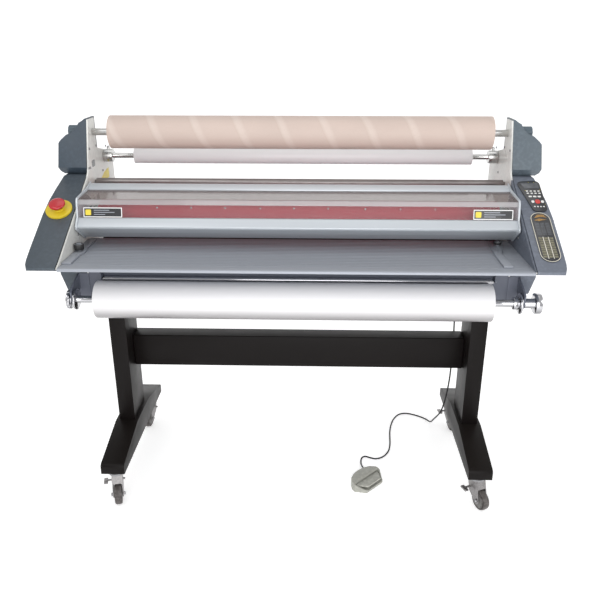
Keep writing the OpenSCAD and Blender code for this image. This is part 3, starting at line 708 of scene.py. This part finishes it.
def on_slope(x, y):
    """Plane of the sloping top of a side cover, at x across and y up it."""
    run, climb = SLOPE_HIGH - SLOPE_LOW
    rise = climb / run
    return flat_on((x, y, SLOPE_LOW.y + (y - SLOPE_LOW.x) * rise), (1, 0, 0), (0, 1, rise))


PAD_HEIGHT = 4
CARD_HEIGHT = 3
pad = on_slope(802, -73)
lcd = [(-36, 66), (24, 68), (26, 38), (-24, 38)]
add("keypad_lcd", plate_at(pad, lcd, 0.5, (0, 0, PAD_HEIGHT), 0.15), "root", lcd_grey)
# Rows of keys: place up the pad, places across it, key width and height
KEY_ROWS = [(24, (-18, -5, 8, 21), 8, 5), (13, (-17, -4, 9, 22), 8, 5), (-3, (-12, 3, 18), 11, 7),
            (-52, (-6, 4, 14, 24), 6, 5)]
keys = None
for y, xs, w, h in KEY_ROWS:
    for x in xs:
        keys = plate_at(pad, rounded(w, h, 2, 3, (x, y)), 1.0, (0, 0, PAD_HEIGHT), 0.3, keys)
for x in (-8, 24):
    keys = plate_at(pad, rounded(10, 12, 4.5, 4, (x, -28)), 1.2, (0, 0, PAD_HEIGHT), 0.3, keys)
add("keypad_keys", keys, "root", key_white)
red_key = plate_at(pad, rounded(16, 19, 6, 5, (8, -28)), 1.4, (0, 0, PAD_HEIGHT), 0.4)
add("keypad_red_key", red_key, "root", key_red)
dots = None
for x, y in ((-5, 68.5), (13, 68.5), (-23, 28), (27, 30), (31, -40)):
    dots = dome(pad, (x, y, PAD_HEIGHT), 1.1, 0.4, dots, 12, False)
add("keypad_lamps", dots, "root", label_amber)


def pill(r, half, n=12):
    """Outline with two straight sides and round ends, half long each way between their centres."""
    arc = [(r * math.cos(math.pi * k / n), half + r * math.sin(math.pi * k / n)) for k in range(n + 1)]
    return arc + [(-x, -y) for x, y in arc]


card = on_slope(803, -238)
card_top = (0, 0, CARD_HEIGHT)
border = ring_at(card, pill(32, 78), pill(29.8, 78), 0.3, (0, 0, CARD_HEIGHT - 0.1))
add("card_border", border, "root", print_cream)
patch = plate_at(card, [(-20, 84), (-8, 100), (12, 100), (22, 86), (8, 90), (-6, 88)], 0.15, card_top)
patch = plate_at(card, [(-22, 74), (-4, 82), (20, 76), (6, 74), (-6, 70)], 0.15, card_top, 0, patch)
add("card_heading", patch, "root", print_bronze)
cells = None
for x0, x1 in ((-23, -9), (-6, 7), (10, 23)):
    for row in range(8):
        cells = plate_at(card, box_outline(x0, 8 + 7 * row, x1, 13 + 7 * row), 0.12, card_top, 0, cells)
add("card_cells", cells, "root", lcd_grey)
columns = None
for x0, x1 in ((-24, -11), (-6, 6), (11, 23)):
    for row in range(9):
        cell = box_outline(x0, -92 + 10 * row, x1, -84 + 10 * row)
        columns = plate_at(card, cell, 0.12, card_top, 0, columns)
add("card_columns", columns, "root", print_olive)
bars = None
for x in (-9.8, 7.2):
    bars = plate_at(card, box_outline(x, -96, x + 2.6, -2), 0.18, card_top, 0, bars)
add("card_dividers", bars, "root", print_cream)


# ---------- plain stickers on the left side plate ----------

inner_face = side_face(-PLATE_IN, 1)
sticker = plate_at(inner_face, [(118, 1098), (262, 1101), (262, 1139), (206, 1131)], 0.2)
add("plate_patch", sticker, "root", label_amber)
marks = plate_at(inner_face, [(30, 1172), (62, 1170), (62, 1178), (30, 1180)], 0.2)
marks = plate_at(inner_face, rounded(34, 24, 6, 4, (92, 1184)), 0.2, (0, 0, 0), 0, marks)
add("plate_marks", marks, "root", panel_black)


# ---------- screws ----------

# Places in YZ, and how far each head sits inside the cover's outermost face
COVER_SCREWS = [(-200, 942, 0.4), (-60, 870, 12), (-60, 1060, 12), (250, 870, 14), (250, 1100, 14)]
POD_SCREWS = [(60, 1205), (150, 1205)]
PLATE_SCREWS = [(64, 1240), (140, 1240), (250, 1222), (190, 1140), (-40, 1030), (-150, 985)]
screws = None
for s, outer in ((-1, COVER_LEFT), (1, COVER_RIGHT)):
    cover_face = side_face(s * outer, s)
    pod_face = side_face(s * POD_OUTER, s)
    plate_face = side_face(s * PLATE_IN, -s)
    for y, z, inset in COVER_SCREWS:
        screws = dome(cover_face, (s * y, z, -inset), 4, 2.4, screws)
    for y, z in POD_SCREWS:
        screws = dome(pod_face, (s * y, z, -1.6), 4, 2.2, screws)
    for y, z in PLATE_SCREWS:
        screws = dome(plate_face, (-s * y, z, 0), 4.5, 2.6, screws)
add("body_screws", screws, "root", bolt_steel)


# ---------- knobs of the side guides ----------

def knurled(radius, height, ridges):
    """A knob that stands on its foot at the origin, with flutes all round, in metres."""
    bm = lathe([(0, radius * 0.5), (0, radius * 0.94), (0.0012, radius), (height - 0.0018, radius),
                (height, radius * 0.92), (height + 0.0003, radius * 0.62), (height - 0.0012, radius * 0.56),
                (height - 0.0012, 0)], ridges * 4)
    for v in bm.verts:
        if math.hypot(v.co.y, v.co.z) > radius * 0.99:
            wave = 0.5 + 0.5 * math.cos(ridges * math.atan2(v.co.z, v.co.y))
            v.co.y *= 1 + 0.05 * wave
            v.co.z *= 1 + 0.05 * wave
    bmesh.ops.transform(bm, matrix=Matrix.Rotation(math.radians(-90), 4, "Y"), verts=bm.verts)
    return bm


KNOB_FOOT = TABLE_TOP + 10.2
for name, x, y, radius, height in (("left", -727, -202, 15.2, 21.5), ("right", 691, -102, 13.2, 11.5)):
    knob = knurled(radius / 1000, height / 1000, 24)
    bmesh.ops.translate(knob, vec=Vector((x, y, KNOB_FOOT)) / 1000, verts=knob.verts)
    add(f"guide_knob_{name}", knob, f"guide_{name}", black_plastic, smooth=math.radians(50))


# ---------- sheet of painted shade on the right side plate, under the cover's slope ---

SHEET_OVER = 0.4
# The outline follows the slope, and its back edge steps back above Z 1062
sheet = along_x([(-366, TABLE_TOP + 0.2), (-366, 937.6), (-334, 952.5), (8, 1146.6), (8, 1062), (-24, 1062),
                 (-24, TABLE_TOP + 0.2)], PLATE_IN - SHEET_OVER, PLATE_OUT + 0.2)
# The right cover's colour laid over the white plate is painted shade
add("shade_sheet_right", sheet, "root", cover_right_lit)


# ---------- collars ----------

tops = None
for x in (-727, 727):
    stud = flat_on((x, FILM_AXIS.x, FILM_AXIS.y + 33.8), (1, 0, 0), (0, 1, 0))
    tops = dome(stud, (0, 0, 0), 4.6, 2.4, tops)
add("film_collar_screws", tops, "film", bolt_steel)
collar_front = flat_on((758.5, SUPPLY_AXIS.x - 21.8, SUPPLY_AXIS.y), (1, 0, 0), (0, 0, 1))
add("supply_collar_screw", dome(collar_front, (0, 0, 0), 4, 3), "supply", bolt_steel)


# ---------- casters ----------

CASTER_X, CASTER_FRONT, CASTER_BACK = 664, -280, 248
# Places and swivel angles, and the profile of the swivel race as (height, radius)
CASTERS = {"fl": (-CASTER_X, CASTER_FRONT, 14), "fr": (CASTER_X, CASTER_FRONT, 24),
           "rl": (-CASTER_X, CASTER_BACK, -8), "rr": (CASTER_X, CASTER_BACK, 12)}
RACE = [(0.1118, 0.0268), (0.1118, 0.0285), (0.1155, 0.0290), (0.1190, 0.0285), (0.1190, 0.0268)]
for c, (x, y, angle) in CASTERS.items():
    turn = Matrix.Translation((x / 1000, y / 1000, 0)) @ Matrix.Rotation(math.radians(angle), 4, "Z")
    ring = lathe(RACE, 48)
    bmesh.ops.transform(ring, matrix=turn @ Matrix.Rotation(math.radians(-90), 4, "Y"), verts=ring.verts)
    add(f"caster_race_{c}", ring, f"caster_{c}", bolt_steel)
    skirt = along_x([(-24.5, 112), (-33.5, 82), (-31, 81.3), (-22, 112)], -16.5, 16.5)
    bmesh.ops.transform(skirt, matrix=turn, verts=skirt.verts)
    add(f"caster_skirt_{c}", skirt, f"caster_{c}", zinc)
    nuts = hubs = None
    for s in (-1, 1):
        face = turn @ flat_on((s * 22, -TRAIL, WHEEL_RADIUS), (0, s, 0), (0, 0, 1))
        nuts = dome(face, (0, 0, 0), 7.5, 4, nuts, 6)
        face = turn @ flat_on((s * 13, -TRAIL, WHEEL_RADIUS), (0, s, 0), (0, 0, 1))
        hubs = join(hubs, ring_at(face, circle(24), circle(9), 0.8))
    add(f"caster_nuts_{c}", nuts, f"caster_{c}", bolt_steel)
    add(f"wheel_hub_{c}", hubs, f"wheel_{c}", hub_dark)


# ---------- floor and light ----------

def backdrop():
    """A pale floor that curves up into a wall far behind."""
    bm = bmesh.new()
    half, front, back, radius, top = 9.0, -6.0, 5.0, 2.5, 7.0
    line = [(front, 0.0), (back, 0.0)]
    line += [(back + radius * math.sin(a), radius - radius * math.cos(a))
             for a in (math.radians(10 * i) for i in range(1, 10))]
    line += [(back + radius, top)]
    rows = [[bm.verts.new((x, y, z)) for x in (-half, half)] for y, z in line]
    for a, b in zip(rows, rows[1:]):
        bm.faces.new((a[0], a[1], b[1], b[0]))
    obj = bpy.data.objects.new("backdrop", finish_mesh(bm, "backdrop"))
    bpy.context.scene.collection.objects.link(obj)
    white = Surface("backdrop", (0.93, 0.93, 0.93), 0.8)
    white.set("Emission Color", (1, 1, 1, 1)).set("Emission Strength", 0.42)
    obj.data.materials.append(white.mat)


def lamp(name, at, target, size, power):
    """A white rectangular lamp that faces the target."""
    data = bpy.data.lights.new(name, "AREA")
    data.shape = "RECTANGLE"
    data.size, data.size_y = size
    data.energy = power
    obj = bpy.data.objects.new(name, data)
    obj.location = at
    obj.rotation_euler = (Vector(target) - Vector(at)).to_track_quat("-Z", "Y").to_euler()
    bpy.context.scene.collection.objects.link(obj)


# Each lamp's place, the point it faces, its size and its power
LAMPS = {
    "front": ((0.25, -3.4, 1.6), (0, 0, 0.9), (2.6, 1.8), 47),
    "key": ((-1.8, -2.0, 3.2), (0, 0, 0.9), (2.0, 1.4), 20),
    "fill": ((2.8, -1.6, 2.2), (0, 0, 0.9), (1.6, 1.6), 16),
    "top": ((0, 0.2, 3.4), (0, 0, 1.0), (3.2, 1.4), 12),
    "low": ((0.2, -2.9, 0.35), (0, -0.15, 1.02), (2.4, 0.6), 9)}
WORLD_LIGHT = 0.62

backdrop()
for name, settings in LAMPS.items():
    lamp(name, *settings)
world = bpy.data.worlds.new("world")
bpy.context.scene.world = world
world.use_nodes = True
background = world.node_tree.nodes["Background"]
background.inputs["Color"].default_value = (1, 1, 1, 1)
background.inputs["Strength"].default_value = WORLD_LIGHT
bpy.context.scene.view_settings.view_transform = "Standard"
